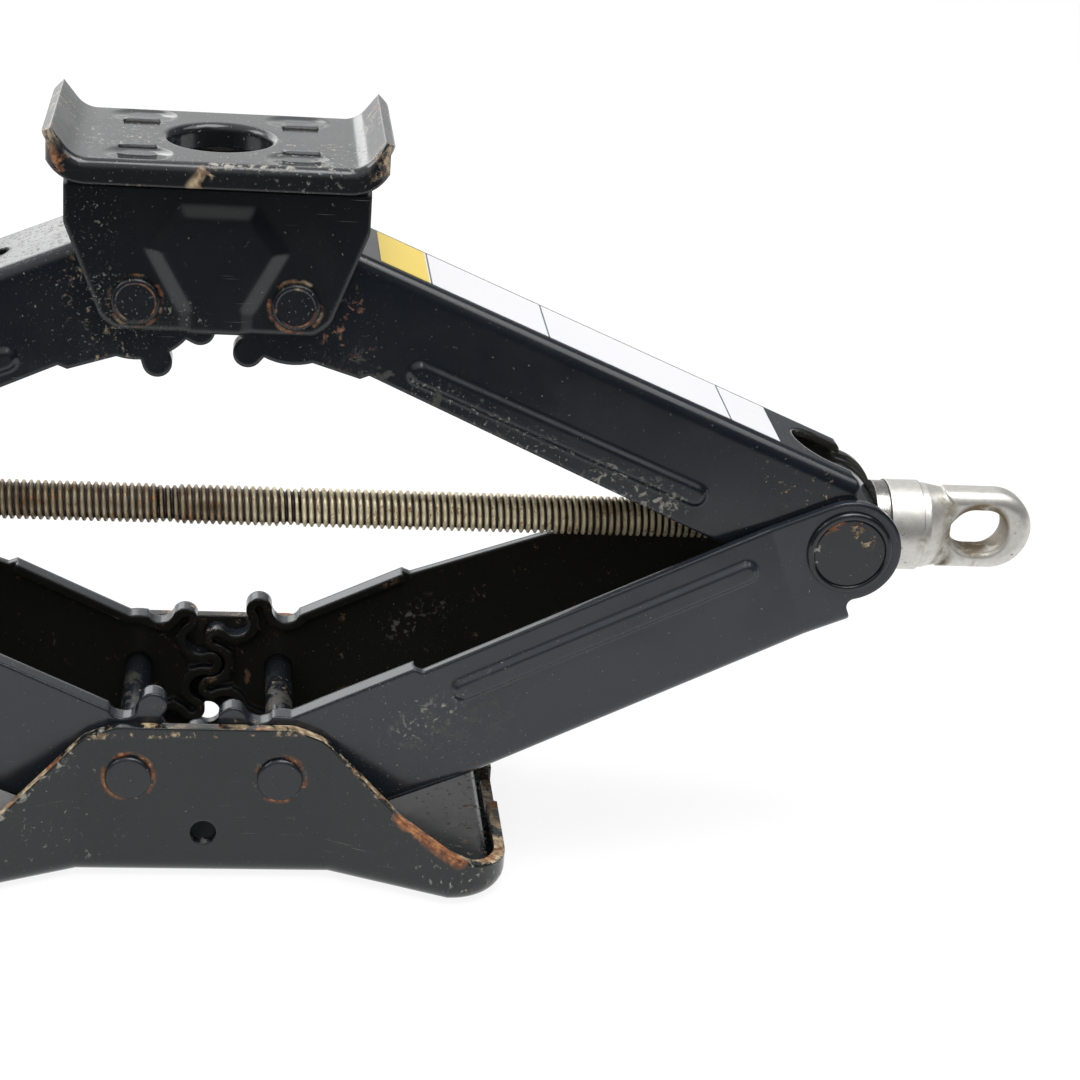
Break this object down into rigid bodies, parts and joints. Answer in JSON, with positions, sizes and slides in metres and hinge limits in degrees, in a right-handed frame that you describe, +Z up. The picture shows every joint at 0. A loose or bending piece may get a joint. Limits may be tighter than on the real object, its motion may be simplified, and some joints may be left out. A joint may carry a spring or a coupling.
{
  "type": "scissor jack",
  "caption": "Folding scissor jack with stamped channel arms on a flared base, geared arm roots, a long screw with a crank eye, and an upturned saddle.",
  "frame": {"origin": "centre of the underside of the base, midway between the base pins", "axes": "+X along the screw towards the crank eye, +Z up towards the saddle, -Y the front side of the arms"},
  "size_m": [0.583, 0.132, 0.2661],
  "materials": {
    "black_paint": "glossy black paint, scratched and rusted at edges",
    "worn_steel": "oily brown thread",
    "zinc_steel": "zinc plated, stained",
    "bearing_steel": "ground and greased"
  },
  "bodies": {
    "base": {"base_plate": "black_paint", "base_pin_right": "black_paint", "base_pin_left": "black_paint"},
    "lower_arm_right": {"lower_arm_right": "black_paint"},
    "thrust_block": {"thrust_trunnion": "black_paint", "thrust_trunnion_rings": "black_paint", "fixed_race": "bearing_steel"},
    "screw": {"lead_screw": "worn_steel", "screw_eye": "zinc_steel", "bearing_cup": "zinc_steel", "rotating_race": "bearing_steel", "screw_end_stop": "worn_steel"},
    "ball_set": {"ball_cage": "bearing_steel", "bearing_balls": "bearing_steel"},
    "upper_arm_right": {"upper_arm_right": "black_paint"},
    "head": {"top_bracket": "black_paint", "saddle": "black_paint", "top_pin_right": "black_paint", "top_pin_left": "black_paint"},
    "lower_arm_left": {"lower_arm_left": "black_paint"},
    "nut_block": {"nut_trunnion": "black_paint", "nut_trunnion_rings": "black_paint"},
    "upper_arm_left": {"upper_arm_left": "black_paint"}
  },
  "joints": [
    {"name": "lower_pivot_right", "type": "hinge", "parent": "base", "child": "lower_arm_right", "pos_m": [0.0264, 0, 0.04], "axis": [0, -1, 0], "range_deg": [-17.8, 37.2]},
    {"name": "thrust_pivot", "type": "hinge", "parent": "lower_arm_right", "child": "thrust_block", "pos_m": [0.22552, 0, 0.1237], "axis": [0, -1, 0], "range_deg": [-37.21, 17.81]},
    {"name": "crank", "type": "hinge", "parent": "thrust_block", "child": "screw", "pos_m": [0.22552, 0, 0.1237], "axis": [-1, 0, 0], "range_deg": [-9991, 20879]},
    {"name": "ball_roll", "type": "hinge", "parent": "thrust_block", "child": "ball_set", "pos_m": [0.22552, 0, 0.1237], "axis": [-1, 0, 0], "continuous": true},
    {"name": "upper_pivot_right", "type": "hinge", "parent": "lower_arm_right", "child": "upper_arm_right", "pos_m": [0.22552, 0, 0.1237], "axis": [0, -1, 0], "range_deg": [-74.42, 35.62]},
    {"name": "head_pivot", "type": "hinge", "parent": "upper_arm_right", "child": "head", "pos_m": [0.0264, 0, 0.20741], "axis": [0, -1, 0], "range_deg": [-17.81, 37.21]},
    {"name": "lower_pivot_left", "type": "hinge", "parent": "base", "child": "lower_arm_left", "pos_m": [-0.0264, 0, 0.04], "axis": [0, 1, 0], "range_deg": [-17.81, 37.21]},
    {"name": "nut_pivot", "type": "hinge", "parent": "lower_arm_left", "child": "nut_block", "pos_m": [-0.22552, 0, 0.1237], "axis": [0, 1, 0], "range_deg": [-37.21, 17.81]},
    {"name": "upper_pivot_left", "type": "hinge", "parent": "lower_arm_left", "child": "upper_arm_left", "pos_m": [-0.22552, 0, 0.1237], "axis": [0, 1, 0], "range_deg": [-74.42, 35.62]}
  ],
  "couplings": [
    {"joint": "thrust_pivot", "follows": "lower_pivot_right", "ratio": -1},
    {"joint": "crank", "follows": "lower_pivot_right", "ratio": 561.22},
    {"joint": "ball_roll", "follows": "lower_pivot_right", "ratio": 280.61},
    {"joint": "upper_pivot_right", "follows": "lower_pivot_right", "ratio": -2},
    {"joint": "head_pivot", "follows": "lower_pivot_right", "ratio": 1},
    {"joint": "lower_pivot_left", "follows": "lower_pivot_right", "ratio": 1},
    {"joint": "nut_pivot", "follows": "lower_pivot_right", "ratio": -1},
    {"joint": "upper_pivot_left", "follows": "lower_pivot_right", "ratio": -2}
  ]
}
